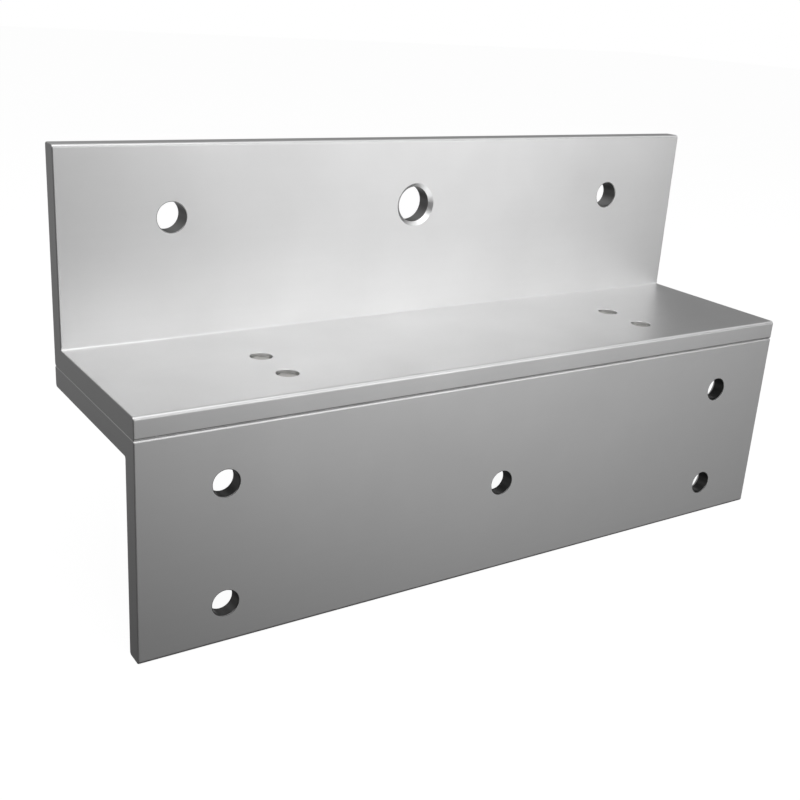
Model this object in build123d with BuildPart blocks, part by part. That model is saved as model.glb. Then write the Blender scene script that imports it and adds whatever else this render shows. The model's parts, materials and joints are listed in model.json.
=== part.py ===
# Two-piece Z bracket that carries the armature plate of a magnetic door lock on an inward-opening door.
# The lower L section is screwed to the door, the upper L section carries the armature plate, and four
# clamp screws in two adjusting slots hold the two sections together.
#
# Frame: the origin is the centre of the four outer door screw holes, on the face that lies on the door.
# +X runs along the bracket, +Y points away from the door and +Z points up. Units are millimetres.

from build123d import *

import os

# Extruded L sections, alike in size and thickness
LENGTH = 185.0
LEG_HEIGHT = 50.0
LEG_DEPTH = 50.0
THICKNESS = 5.0
OUTER_RADIUS = 0.8
SEAM_RADIUS = 0.4
SHELF_EDGE_RADIUS = 0.6
INNER_RADIUS = 0.5
END_BREAK = 0.25
HOLE_BREAK = 0.2

# Door screw holes: four on a rectangle and one in its middle, countersunk from behind for the screw heads
DOOR_HOLE_RADIUS = 3.0
DOOR_COUNTERSINK = 1.7
DOOR_HOLE_SPACING_X = 146.0
DOOR_HOLE_SPACING_Z = 28.0
DOOR_HOLE_DROP = 26.4

# Armature holes: a bolt hole between two guide pin holes, in one row
BOLT_HOLE_RADIUS = 4.5
BOLT_HOLE_BREAK = 1.0
PIN_HOLE_RADIUS = 3.5
PIN_HOLE_SPACING = 132.5
ARMATURE_HOLE_DROP = 16.6

# Clamp screws: M5 x 12 socket head screws, in two pairs
SCREW_RADIUS = 2.5
SCREW_LENGTH = 12.0
SCREW_TIP_BREAK = 0.5
HEAD_RADIUS = 4.25
HEAD_HEIGHT = 5.0
HEAD_BREAK = 0.4
SOCKET_ACROSS_FLATS = 4.0
SOCKET_DEPTH = 2.5
SCREW_SPACING_X = 106.4
SCREW_FRONT_Y = 12.2
SCREW_PITCH_Y = 12.8
TAPPED_HOLE_RADIUS = 2.55
TAPPED_HOLE_BREAK = 0.1

# Washers between each screw head and the lower section
FLAT_WASHER_OUTER_RADIUS = 5.0
FLAT_WASHER_INNER_RADIUS = 2.65
FLAT_WASHER_THICKNESS = 1.0
FLAT_WASHER_BREAK = 0.15
SPRING_WASHER_OUTER_RADIUS = 4.0
SPRING_WASHER_INNER_RADIUS = 2.6
SPRING_WASHER_THICKNESS = 1.6
SPRING_WASHER_SPLIT = 0.5
SPRING_WASHER_SPLIT_SLANT = 20.0

# Adjusting slots, along which the upper section moves away from the door
TRAVEL = 15.0
SLOT_RADIUS = 2.9

# Levels that follow from the sizes above
SEAM_Z = DOOR_HOLE_DROP
DOOR_LEG_BOTTOM_Z = SEAM_Z - LEG_HEIGHT
UNDERSIDE_Z = SEAM_Z - THICKNESS
SHELF_Z = SEAM_Z + THICKNESS
TOP_Z = SEAM_Z + LEG_HEIGHT
UPRIGHT_Y = LEG_DEPTH - THICKNESS
ARMATURE_HOLE_Z = TOP_Z - ARMATURE_HOLE_DROP
SPRING_WASHER_TOP_Z = UNDERSIDE_Z - FLAT_WASHER_THICKNESS
UNDER_HEAD_Z = SPRING_WASHER_TOP_Z - SPRING_WASHER_THICKNESS

# Working planes: each section's profile lies on its left end, and the holes start from the front faces
LEFT_END = Plane.YZ.offset(-LENGTH / 2)
DOOR_FACE = Plane.XZ
ARMATURE_FACE = Plane.XZ.offset(-UPRIGHT_Y)

SCREW_PLACES = {
    "left_front": (-SCREW_SPACING_X / 2, SCREW_FRONT_Y),
    "left_rear": (-SCREW_SPACING_X / 2, SCREW_FRONT_Y + SCREW_PITCH_Y),
    "right_front": (SCREW_SPACING_X / 2, SCREW_FRONT_Y),
    "right_rear": (SCREW_SPACING_X / 2, SCREW_FRONT_Y + SCREW_PITCH_Y),
}


def l_profile(corners):
    """The outline of an L section from its (y, z, radius) corners."""
    with BuildSketch(LEFT_END) as profile:
        with BuildLine():
            Polyline([(y, z) for y, z, radius in corners], close=True)
        make_face()
        for y, z, radius in corners:
            fillet(profile.vertices().sort_by_distance((y, z, 0))[0], radius)
    return profile.sketch


def end_edges(section):
    """The edges round the two sawn ends of a section."""
    ends = section.faces().filter_by(Axis.X).sort_by(Axis.X)
    return ends[0].outer_wire().edges() + ends[-1].outer_wire().edges()


def rim_edges(section):
    """The edges where holes and slots open into the flat faces of a section."""
    flat_faces = section.faces().filter_by(GeomType.PLANE)
    return [edge for face in flat_faces for wire in face.inner_wires() for edge in wire.edges()]


def rims_along(section, radius, axis):
    """The circular rims of one radius, in groups along an axis."""
    circles = section.edges().filter_by(GeomType.CIRCLE)
    return circles.filter_by(lambda edge: abs(edge.radius - radius) < 0.01).group_by(axis)


def write_step(builder, name):
    """Label a finished piece and write its STEP file."""
    builder.part.label = name
    export_step(builder.part, f"parts/{name}.step")


def make_door_bracket():
    """The lower L section: its upright leg lies on the door and its level leg has the slots."""
    profile = l_profile(
        [
            (0, DOOR_LEG_BOTTOM_Z, OUTER_RADIUS),
            (THICKNESS, DOOR_LEG_BOTTOM_Z, OUTER_RADIUS),
            (THICKNESS, UNDERSIDE_Z, INNER_RADIUS),
            (LEG_DEPTH, UNDERSIDE_Z, OUTER_RADIUS),
            (LEG_DEPTH, SEAM_Z, SEAM_RADIUS),
            (0, SEAM_Z, SEAM_RADIUS),
        ]
    )
    screws_to_slot_end = SCREW_PITCH_Y + TRAVEL
    with BuildPart() as door_bracket:
        extrude(to_extrude=profile, amount=LENGTH)
        chamfer(end_edges(door_bracket), END_BREAK)
        with BuildSketch(Plane.XY.offset(UNDERSIDE_Z)):
            with Locations((0, SCREW_FRONT_Y + screws_to_slot_end / 2)):
                with GridLocations(SCREW_SPACING_X, 0, 2, 1):
                    SlotCenterToCenter(screws_to_slot_end, 2 * SLOT_RADIUS, rotation=90)
        extrude(amount=THICKNESS, mode=Mode.SUBTRACT)
        chamfer(rim_edges(door_bracket), HOLE_BREAK)
        with Locations(DOOR_FACE):
            Hole(DOOR_HOLE_RADIUS, depth=THICKNESS)
            with GridLocations(DOOR_HOLE_SPACING_X, DOOR_HOLE_SPACING_Z, 2, 2):
                Hole(DOOR_HOLE_RADIUS, depth=THICKNESS)
        door_hole_rims = rims_along(door_bracket, DOOR_HOLE_RADIUS, Axis.Y)
        chamfer(door_hole_rims[0], HOLE_BREAK)
        chamfer(door_hole_rims[-1], DOOR_COUNTERSINK)
    return door_bracket


def make_armature_bracket():
    """The upper L section: its level leg is the shelf and its upright leg carries the armature."""
    profile = l_profile(
        [
            (0, SEAM_Z, SHELF_EDGE_RADIUS),
            (LEG_DEPTH, SEAM_Z, OUTER_RADIUS),
            (LEG_DEPTH, TOP_Z, OUTER_RADIUS),
            (UPRIGHT_Y, TOP_Z, OUTER_RADIUS),
            (UPRIGHT_Y, SHELF_Z, INNER_RADIUS),
            (0, SHELF_Z, OUTER_RADIUS),
        ]
    )
    with BuildPart() as armature_bracket:
        extrude(to_extrude=profile, amount=LENGTH)
        chamfer(end_edges(armature_bracket), END_BREAK)
        with Locations(ARMATURE_FACE):
            with Locations((0, ARMATURE_HOLE_Z)):
                with GridLocations(PIN_HOLE_SPACING, 0, 2, 1):
                    Hole(PIN_HOLE_RADIUS, depth=THICKNESS)
        chamfer(rim_edges(armature_bracket), HOLE_BREAK)
        with Locations(ARMATURE_FACE):
            with Locations((0, ARMATURE_HOLE_Z)):
                Hole(BOLT_HOLE_RADIUS, depth=THICKNESS)
        bolt_hole_rims = rims_along(armature_bracket, BOLT_HOLE_RADIUS, Axis.Y)
        chamfer(bolt_hole_rims[0], BOLT_HOLE_BREAK)
        chamfer(bolt_hole_rims[-1], HOLE_BREAK)
        with Locations(Plane.XY.offset(SHELF_Z)):
            with Locations(*SCREW_PLACES.values()):
                Hole(TAPPED_HOLE_RADIUS, depth=THICKNESS)
        tapped_hole_rims = rims_along(armature_bracket, TAPPED_HOLE_RADIUS, Axis.Z)
        chamfer(tapped_hole_rims[0], TAPPED_HOLE_BREAK)
        chamfer(tapped_hole_rims[-1], TAPPED_HOLE_BREAK)
    return armature_bracket


def make_clamp_screw(x, y):
    """A socket head screw, head down, whose tip ends just under the shelf's top face."""
    with BuildPart() as clamp_screw:
        with BuildSketch(Plane((x, y, UNDER_HEAD_Z))):
            Circle(SCREW_RADIUS)
        extrude(amount=SCREW_LENGTH)
        chamfer(clamp_screw.edges().sort_by(Axis.Z)[-1], SCREW_TIP_BREAK)
        with BuildSketch(Plane((x, y, UNDER_HEAD_Z))):
            Circle(HEAD_RADIUS)
        extrude(amount=-HEAD_HEIGHT)
        chamfer(clamp_screw.edges().sort_by(Axis.Z)[0], HEAD_BREAK)
        with BuildSketch(Plane((x, y, UNDER_HEAD_Z - HEAD_HEIGHT))):
            RegularPolygon(SOCKET_ACROSS_FLATS / 2, 6, major_radius=False)
        extrude(amount=SOCKET_DEPTH, mode=Mode.SUBTRACT)
    return clamp_screw


def make_spring_washer(x, y):
    """A split spring washer, pressed flat, with its slanting split towards the door."""
    middle_radius = (SPRING_WASHER_OUTER_RADIUS + SPRING_WASHER_INNER_RADIUS) / 2
    split_middle = (x, y - middle_radius, UNDER_HEAD_Z + SPRING_WASHER_THICKNESS / 2)
    with BuildPart() as spring_washer:
        with BuildSketch(Plane((x, y, UNDER_HEAD_Z))):
            Circle(SPRING_WASHER_OUTER_RADIUS)
            Circle(SPRING_WASHER_INNER_RADIUS, mode=Mode.SUBTRACT)
        extrude(amount=SPRING_WASHER_THICKNESS)
        with Locations(Location(split_middle, (0, SPRING_WASHER_SPLIT_SLANT, 0))):
            Box(
                SPRING_WASHER_SPLIT,
                SPRING_WASHER_OUTER_RADIUS,
                2 * SPRING_WASHER_THICKNESS,
                mode=Mode.SUBTRACT,
            )
    return spring_washer


def make_flat_washer(x, y):
    """A flat washer that spans the adjusting slot."""
    with BuildPart() as flat_washer:
        with BuildSketch(Plane((x, y, SPRING_WASHER_TOP_Z))):
            Circle(FLAT_WASHER_OUTER_RADIUS)
            Circle(FLAT_WASHER_INNER_RADIUS, mode=Mode.SUBTRACT)
        extrude(amount=FLAT_WASHER_THICKNESS)
        chamfer(flat_washer.edges().filter_by(GeomType.CIRCLE), FLAT_WASHER_BREAK)
    return flat_washer


os.makedirs("parts", exist_ok=True)

write_step(make_door_bracket(), "door_bracket")
write_step(make_armature_bracket(), "armature_bracket")
for place, (screw_x, screw_y) in SCREW_PLACES.items():
    write_step(make_clamp_screw(screw_x, screw_y), f"clamp_screw_{place}")
    write_step(make_spring_washer(screw_x, screw_y), f"spring_washer_{place}")
    write_step(make_flat_washer(screw_x, screw_y), f"flat_washer_{place}")
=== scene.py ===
# %% [markdown]
# # The Z bracket of a magnetic door lock
# The bracket is two lengths of aluminium angle. The lower one is screwed to an inward-opening door, and the
# upper one carries the steel plate that the lock's magnet pulls on. Four screws clamp the two together.
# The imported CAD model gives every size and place. Loading it first means that each later piece can be built
# straight where it belongs, instead of being fitted by eye at the end.

import json
import math
import random

import bmesh
import bpy
from mathutils import Matrix, Vector


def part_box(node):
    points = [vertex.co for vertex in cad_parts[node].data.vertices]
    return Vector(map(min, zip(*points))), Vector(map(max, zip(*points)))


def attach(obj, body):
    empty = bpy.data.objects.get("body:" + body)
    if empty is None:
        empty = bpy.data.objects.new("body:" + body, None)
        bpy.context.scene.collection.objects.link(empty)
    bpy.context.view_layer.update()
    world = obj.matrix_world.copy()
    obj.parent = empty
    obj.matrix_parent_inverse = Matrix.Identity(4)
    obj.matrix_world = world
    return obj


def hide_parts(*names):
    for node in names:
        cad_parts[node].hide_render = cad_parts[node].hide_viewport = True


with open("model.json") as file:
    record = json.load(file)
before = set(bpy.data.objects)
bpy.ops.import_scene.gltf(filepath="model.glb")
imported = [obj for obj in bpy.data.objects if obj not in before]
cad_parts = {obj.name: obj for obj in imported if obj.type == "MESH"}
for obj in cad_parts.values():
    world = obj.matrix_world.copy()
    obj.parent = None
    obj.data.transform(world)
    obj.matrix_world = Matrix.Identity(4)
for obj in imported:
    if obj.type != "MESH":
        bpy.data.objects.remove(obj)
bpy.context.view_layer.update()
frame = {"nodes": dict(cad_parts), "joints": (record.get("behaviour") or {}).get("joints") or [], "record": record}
print("CAD nodes:", sorted(frame["nodes"]))

# %% [markdown]
# ## Read the design from the frame
# A maker works from a drawing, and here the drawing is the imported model. The boxes of the CAD nodes give the
# levels, the record's mounts give the drilled holes, and the joint's range gives the length of the slots.
# A size that was read can't drift away from the CAD, which a size that was typed in again could.

# %% Levels of the two angles, in metres
MM = 0.001
door_low, door_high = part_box("door_bracket")
armature_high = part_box("armature_bracket")[1]
washer_low, washer_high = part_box("flat_washer_left_front")
HALF_LENGTH = door_high.x
DEPTH = door_high.y
BOTTOM, SEAM, TOP = door_low.z, door_high.z, armature_high.z
THICKNESS = SEAM - washer_high.z
UNDERSIDE, SHELF = SEAM - THICKNESS, SEAM + THICKNESS
UPRIGHT = DEPTH - THICKNESS
print("thickness of the angle:", round(THICKNESS / MM, 2), "mm")
print("levels:", [round(level / MM, 1) for level in (BOTTOM, UNDERSIDE, SEAM, SHELF, TOP)], "mm")

# %% Holes, slots and screw places, in metres
mounts = {mount["name"]: mount for mount in frame["record"]["mounts"]}
door_pattern = mounts["door_screws"]["dims"]
pin_pattern = mounts["guide_pin_holes"]["dims"]
ARMATURE_ROW = mounts["armature_bolt_hole"]["pos_m"][2]
TRAVEL = frame["joints"][0]["range_m"][1]

SCREW_PLACES = {}
for side in ("left", "right"):
    for row in ("front", "rear"):
        screw_low, screw_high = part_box(f"clamp_screw_{side}_{row}")
        middle = (screw_low + screw_high) / 2
        SCREW_PLACES[f"{side}_{row}"] = Vector((middle.x, middle.y, 0))
HEAD_END, SCREW_TIP = screw_low.z, screw_high.z
spring_low, spring_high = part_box("spring_washer_left_front")
print("slot travel:", round(TRAVEL / MM, 2), "mm")
for place_name, place in SCREW_PLACES.items():
    print("clamp screw", place_name, "at", [round(value / MM, 1) for value in place])

# %% [markdown]
# ## The camera
# The bracket is seen from the left, a little above the shelf, from about arm's length with a normal lens. The
# camera comes first because every later choice is judged through it. Its back axis is worked out from an
# azimuth and an elevation. A third angle rolls it, because a product shot is often held slightly crooked.

# %% Set up the camera
CAMERA_PLACE = Vector((-160.5, -189.2, 109.1)) * MM
AZIMUTH, ELEVATION, ROLL = math.radians(-34.28), math.radians(19.92), math.radians(3.79)

camera_back = Vector((
    math.sin(AZIMUTH) * math.cos(ELEVATION),
    -math.cos(AZIMUTH) * math.cos(ELEVATION),
    math.sin(ELEVATION),
))
level_right = Vector((0, 0, 1)).cross(camera_back).normalized()
level_up = camera_back.cross(level_right)
camera_right = math.cos(ROLL) * level_right + math.sin(ROLL) * level_up
camera_up = camera_back.cross(camera_right)

camera_data = bpy.data.cameras.new("camera")
camera_data.lens = 49.64
camera_data.sensor_width = 36
camera_data.clip_start = 1 * MM
camera = bpy.data.objects.new("camera", camera_data)
turned = Matrix((camera_right, camera_up, camera_back)).transposed().to_4x4()
camera.matrix_world = Matrix.Translation(CAMERA_PLACE) @ turned
bpy.context.scene.collection.objects.link(camera)
bpy.context.scene.camera = camera
print("camera is", round(CAMERA_PLACE.length / MM), "mm from the door face's centre")

# %% [markdown]
# ## Helpers for node trees
# Geometry Nodes and shaders are both graphs of nodes, so the same few helpers build them all. One adds a
# node, one connects a socket or types a value into it, one does a sum, and one starts a group with named
# sockets.

# %% Node helpers
def add_node(tree, kind, **settings):
    """Add a node of one kind and set its properties."""
    node = tree.nodes.new(kind)
    for name, value in settings.items():
        setattr(node, name, value)
    return node


def feed(tree, socket, source):
    """Link a socket to another node's output, or type a plain value into it."""
    if isinstance(source, bpy.types.NodeSocket):
        tree.links.new(source, socket)
    else:
        socket.default_value = source


def sums(tree, operation, *values, **settings):
    """One Math node; returns its output socket."""
    node = add_node(tree, "ShaderNodeMath", operation=operation, **settings)
    for socket, value in zip(node.inputs, values):
        feed(tree, socket, value)
    return node.outputs[0]


def new_group(name, kind, inputs, outputs):
    """A node group with named sockets: returns the tree, its inputs node and its outputs node."""
    tree = bpy.data.node_groups.new(name, kind)
    for socket_name, socket_type in inputs.items():
        tree.interface.new_socket(socket_name, in_out="INPUT", socket_type=socket_type)
    for socket_name, socket_type in outputs.items():
        tree.interface.new_socket(socket_name, in_out="OUTPUT", socket_type=socket_type)
    return tree, add_node(tree, "NodeGroupInput"), add_node(tree, "NodeGroupOutput")


print("node helpers are ready")

# %% [markdown]
# ## Grain shared by the aluminium
# The angle is bead blasted before it is anodised, which leaves pits about a tenth of a millimetre across.
# They spread each reflection, so the metal looks satin. A bump from fine noise gives the same spread with a
# little sparkle. Very wide noise adds the slight clouding of an anodising bath, and long thin noise adds the
# faint lines that the extrusion die left. One group holds all three, so that bores and ends match the faces.

# %% Shader group: blasted grain
def build_blasted_grain():
    """Pits, clouding and die lines from object coordinates."""
    tree, given, result = new_group(
        "Blasted grain",
        "ShaderNodeTree",
        {
            "Place": "NodeSocketVector",
            "Pits per metre": "NodeSocketFloat",
            "Clouding": "NodeSocketFloat",
            "Die lines": "NodeSocketFloat",
        },
        {"Height": "NodeSocketFloat", "Shade": "NodeSocketFloat", "Spread": "NodeSocketFloat"},
    )
    pits = add_node(tree, "ShaderNodeTexNoise", noise_dimensions="3D")
    feed(tree, pits.inputs["Vector"], given.outputs["Place"])
    feed(tree, pits.inputs["Scale"], given.outputs["Pits per metre"])
    feed(tree, pits.inputs["Detail"], 2.0)
    feed(tree, result.inputs["Height"], pits.outputs["Fac"])

    clouds = add_node(tree, "ShaderNodeTexNoise", noise_dimensions="3D")
    feed(tree, clouds.inputs["Vector"], given.outputs["Place"])
    feed(tree, clouds.inputs["Scale"], 45.0)
    feed(tree, clouds.inputs["Detail"], 4.0)
    cloud_swing = sums(tree, "SUBTRACT", clouds.outputs["Fac"], 0.5)
    cloud = sums(tree, "MULTIPLY", cloud_swing, given.outputs["Clouding"])

    along_bar = add_node(tree, "ShaderNodeMapping")
    feed(tree, along_bar.inputs["Vector"], given.outputs["Place"])
    along_bar.inputs["Scale"].default_value = (3.0, 900.0, 900.0)
    lines = add_node(tree, "ShaderNodeTexNoise", noise_dimensions="3D")
    feed(tree, lines.inputs["Vector"], along_bar.outputs["Vector"])
    feed(tree, lines.inputs["Scale"], 1.0)
    feed(tree, lines.inputs["Detail"], 3.0)
    line_swing = sums(tree, "SUBTRACT", lines.outputs["Fac"], 0.5)
    line = sums(tree, "MULTIPLY", line_swing, given.outputs["Die lines"])

    both = sums(tree, "ADD", cloud, line)
    feed(tree, result.inputs["Shade"], sums(tree, "ADD", 1.0, both))
    feed(tree, result.inputs["Spread"], sums(tree, "SUBTRACT", sums(tree, "MULTIPLY", line, 0.6), cloud))
    return tree


grain_group = build_blasted_grain()
print("blasted grain group:", len(grain_group.nodes), "nodes")

# %% [markdown]
# ## Tool marks shared by cut surfaces
# A saw leaves shallow arcs across an end, and a drill leaves rings down a hole. Both are stripes of nearly
# even spacing with some wobble. One group turns any measured distance into such stripes. The saw feeds it the
# distance from the blade's centre, and the drill feeds it the depth in the hole.

# %% Shader group: tool marks
def build_tool_marks():
    """Stripes along a distance, with wobble and uneven strength."""
    tree, given, result = new_group(
        "Tool marks",
        "ShaderNodeTree",
        {
            "Place": "NodeSocketVector",
            "Distance": "NodeSocketFloat",
            "Spacing": "NodeSocketFloat",
            "Wobble": "NodeSocketFloat",
        },
        {"Height": "NodeSocketFloat"},
    )
    wander = add_node(tree, "ShaderNodeTexNoise", noise_dimensions="3D")
    feed(tree, wander.inputs["Vector"], given.outputs["Place"])
    feed(tree, wander.inputs["Scale"], 260.0)
    bend = sums(tree, "MULTIPLY", wander.outputs["Fac"], given.outputs["Wobble"])
    count = sums(tree, "DIVIDE", sums(tree, "ADD", given.outputs["Distance"], bend), given.outputs["Spacing"])
    wave = sums(tree, "SINE", sums(tree, "MULTIPLY", count, math.tau))

    uneven = add_node(tree, "ShaderNodeTexNoise", noise_dimensions="1D")
    feed(tree, uneven.inputs["W"], sums(tree, "MULTIPLY", count, 0.7))
    feed(tree, uneven.inputs["Scale"], 1.0)
    feed(tree, uneven.inputs["Detail"], 2.0)
    strength = sums(tree, "ADD", sums(tree, "MULTIPLY", wave, 0.25), uneven.outputs["Fac"])
    feed(tree, result.inputs["Height"], strength)
    return tree


marks_group = build_tool_marks()
print("tool marks group:", len(marks_group.nodes), "nodes")

# %% [markdown]
# ## Start a finish
# Each finish is its own material with its own Principled shader. Everything in it varies from point to point
# by object coordinates, so the pattern stays on the metal when the bracket slides. These helpers make the
# parts that all finishes share: the shader, the coordinates, a bump that takes a height, and a tint.

# %% Helpers for materials
def start_finish(name):
    """A material with a Principled shader and object coordinates."""
    material = bpy.data.materials.new(name)
    material.use_nodes = True
    tree = material.node_tree
    tree.nodes.clear()
    output = add_node(tree, "ShaderNodeOutputMaterial")
    shader = add_node(tree, "ShaderNodeBsdfPrincipled")
    tree.links.new(shader.outputs["BSDF"], output.inputs["Surface"])
    place = add_node(tree, "ShaderNodeTexCoord").outputs["Object"]
    return material, tree, shader, place


def use_group(tree, group, inputs):
    """Put a shared group in a material with this material's own values."""
    node = add_node(tree, "ShaderNodeGroup", node_tree=group)
    for name, value in inputs.items():
        feed(tree, node.inputs[name], value)
    return node


def bump_from(tree, height, depth, base=None):
    """A bump of a real depth in metres; returns its normal."""
    bump = add_node(tree, "ShaderNodeBump")
    feed(tree, bump.inputs["Distance"], depth)
    feed(tree, bump.inputs["Height"], height)
    if base is not None:
        feed(tree, bump.inputs["Normal"], base)
    return bump.outputs["Normal"]


def tint(tree, colour, shade):
    """A colour made lighter or darker by a value that varies."""
    mix = add_node(tree, "ShaderNodeVectorMath", operation="SCALE")
    feed(tree, mix.inputs[0], colour)
    feed(tree, mix.inputs["Scale"], shade)
    return mix.outputs[0]


print("material helpers are ready")

# %% [markdown]
# ## Anodised aluminium faces
# Clear anodising is a hard, glassy oxide about a hundredth of a millimetre thick over the blasted metal. It
# leaves the aluminium pale and satin. A metallic Principled shader at middling roughness gives that. The
# clouding shifts both the colour and the roughness, because a thicker patch of oxide is duller and darker.

# %% Finish: satin anodised aluminium
ANODISED_GREY = (0.92, 0.92, 0.92)
ANODISED_ROUGHNESS = 0.4
PITS_PER_METRE = 5200.0


def make_anodised_face():
    """The blasted and anodised outer faces."""
    material, tree, shader, place = start_finish("satin anodised aluminium")
    grain = use_group(tree, grain_group, {
        "Place": place, "Pits per metre": PITS_PER_METRE, "Clouding": 0.09, "Die lines": 0.015,
    })
    shader.inputs["Metallic"].default_value = 1.0
    feed(tree, shader.inputs["Base Color"], tint(tree, ANODISED_GREY, grain.outputs["Shade"]))
    feed(tree, shader.inputs["Roughness"], sums(tree, "ADD", ANODISED_ROUGHNESS, grain.outputs["Spread"]))
    feed(tree, shader.inputs["Normal"], bump_from(tree, grain.outputs["Height"], 0.004 * MM))
    return material


anodised_face = make_anodised_face()
print("made", anodised_face.name)

# %% [markdown]
# ## Sawn ends and drilled walls
# The ends are sawn before blasting, so the blade's arcs still show faintly under the grain. The holes are
# drilled and the slots milled after that, and their walls stay smoother, with rings or strokes of the cutter.
# These surfaces get their own materials because they reflect more sharply than the faces do. The walls of the door
# holes and of the holes in the upright legs carry painted shade: their grey is set well below the metal's own to
# stand in for the shade inside the holes, darkest in the small door holes. The tapped walls keep a grey near the
# bare metal's.

# %% Finish: sawn end
def make_sawn_end():
    """End faces with faint arcs of a saw blade under the grain."""
    material, tree, shader, place = start_finish("sawn and anodised end")
    grain = use_group(tree, grain_group, {
        "Place": place, "Pits per metre": PITS_PER_METRE, "Clouding": 0.1, "Die lines": 0.0,
    })
    blade_centre = add_node(tree, "ShaderNodeMapping")
    feed(tree, blade_centre.inputs["Vector"], place)
    blade_centre.inputs["Location"].default_value = (0.0, 0.06, 0.13)
    blade_centre.inputs["Scale"].default_value = (0.0, 1.0, 1.0)
    reach = add_node(tree, "ShaderNodeVectorMath", operation="LENGTH")
    feed(tree, reach.inputs[0], blade_centre.outputs["Vector"])
    marks = use_group(tree, marks_group, {
        "Place": place, "Distance": reach.outputs["Value"], "Spacing": 0.7 * MM, "Wobble": 0.5 * MM,
    })
    shader.inputs["Metallic"].default_value = 1.0
    feed(tree, shader.inputs["Base Color"], tint(tree, ANODISED_GREY, grain.outputs["Shade"]))
    feed(tree, shader.inputs["Roughness"], sums(tree, "ADD", ANODISED_ROUGHNESS, grain.outputs["Spread"]))
    sawn = bump_from(tree, marks.outputs["Height"], 0.006 * MM)
    feed(tree, shader.inputs["Normal"], bump_from(tree, grain.outputs["Height"], 0.003 * MM, sawn))
    return material


sawn_end = make_sawn_end()
print("made", sawn_end.name)


# %% Finish: drilled and milled walls
def make_cut_wall(name, grey, axis, spacing, depth):
    """Walls of holes and slots, with marks that repeat along one axis of the tool."""
    material, tree, shader, place = start_finish(name)
    grain = use_group(tree, grain_group, {
        "Place": place, "Pits per metre": 3500.0, "Clouding": 0.15, "Die lines": 0.0,
    })
    split = add_node(tree, "ShaderNodeSeparateXYZ")
    feed(tree, split.inputs[0], place)
    marks = use_group(tree, marks_group, {
        "Place": place, "Distance": split.outputs[axis], "Spacing": spacing, "Wobble": 0.1 * MM,
    })
    shader.inputs["Metallic"].default_value = 1.0
    feed(tree, shader.inputs["Base Color"], tint(tree, (grey, grey, grey), grain.outputs["Shade"]))
    feed(tree, shader.inputs["Roughness"], sums(tree, "ADD", 0.3, grain.outputs["Spread"]))
    feed(tree, shader.inputs["Normal"], bump_from(tree, marks.outputs["Height"], depth))
    return material


# The door hole walls get a grey of 0.2, far below the metal's own: painted shade for the shade inside the small
# holes.
door_hole_wall_painted_shade = make_cut_wall("drilled wall of a door hole", 0.2, "Y", 0.35 * MM, 0.012 * MM)
# The walls of the holes in the upright legs get a grey of 0.4, well below the metal's own: painted shade for the
# shade inside the holes.
upright_hole_wall_painted_shade = make_cut_wall("clean cut wall of an upright leg", 0.4, "Y", 0.35 * MM, 0.012 * MM)
tapped_wall = make_cut_wall("tapped wall of the shelf", 0.82, "Z", 0.8 * MM, 0.03 * MM)
milled_slot = make_cut_wall("milled slot wall", 0.5, "Y", 0.5 * MM, 0.008 * MM)
print("made", door_hole_wall_painted_shade.name, "/", upright_hole_wall_painted_shade.name, "/", tapped_wall.name, "/", milled_slot.name)

# %% [markdown]
# ## Steel of the screws and washers
# The screws are plain stainless steel, which is a little warmer and darker than aluminium. The washers are
# zinc plated, which is cool grey and slightly patchy. Both are finished loose in a barrel, so they knock
# together and get small dings. One group makes the patches and dings, and each steel has its own tones.

# %% Shader group: barrel finish
def build_barrel_finish():
    """Patchy tone and small dings from tumbling in a barrel."""
    tree, given, result = new_group(
        "Barrel finish",
        "ShaderNodeTree",
        {"Place": "NodeSocketVector", "Dark tone": "NodeSocketColor", "Light tone": "NodeSocketColor",
         "Patchiness": "NodeSocketFloat"},
        {"Colour": "NodeSocketColor", "Height": "NodeSocketFloat", "Spread": "NodeSocketFloat"},
    )
    patches = add_node(tree, "ShaderNodeTexNoise", noise_dimensions="3D")
    feed(tree, patches.inputs["Vector"], given.outputs["Place"])
    feed(tree, patches.inputs["Scale"], 420.0)
    feed(tree, patches.inputs["Detail"], 3.0)
    tones = add_node(tree, "ShaderNodeMix", data_type="RGBA")
    mix_sockets = {socket.identifier: socket for socket in tones.inputs}
    feed(tree, mix_sockets["Factor_Float"], patches.outputs["Fac"])
    feed(tree, mix_sockets["A_Color"], given.outputs["Dark tone"])
    feed(tree, mix_sockets["B_Color"], given.outputs["Light tone"])
    feed(tree, result.inputs["Colour"], tones.outputs[2])

    dings = add_node(tree, "ShaderNodeTexVoronoi", feature="SMOOTH_F1")
    feed(tree, dings.inputs["Vector"], given.outputs["Place"])
    feed(tree, dings.inputs["Scale"], 1500.0)
    feed(tree, result.inputs["Height"], dings.outputs["Distance"])
    uneven = sums(tree, "SUBTRACT", patches.outputs["Fac"], 0.5)
    feed(tree, result.inputs["Spread"], sums(tree, "MULTIPLY", uneven, given.outputs["Patchiness"]))
    return tree


barrel_group = build_barrel_finish()
print("barrel finish group:", len(barrel_group.nodes), "nodes")


# %% Finishes: stainless screw and zinc washer
def make_tumbled_steel(name, dark_tone, light_tone, roughness, patchiness, ding_depth):
    """Steel finished in a barrel, with its own tones and dullness."""
    material, tree, shader, place = start_finish(name)
    finish = use_group(tree, barrel_group, {
        "Place": place, "Dark tone": (*dark_tone, 1.0), "Light tone": (*light_tone, 1.0),
        "Patchiness": patchiness,
    })
    shader.inputs["Metallic"].default_value = 1.0
    feed(tree, shader.inputs["Base Color"], finish.outputs["Colour"])
    feed(tree, shader.inputs["Roughness"], sums(tree, "ADD", roughness, finish.outputs["Spread"]))
    feed(tree, shader.inputs["Normal"], bump_from(tree, finish.outputs["Height"], ding_depth))
    return material


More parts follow.
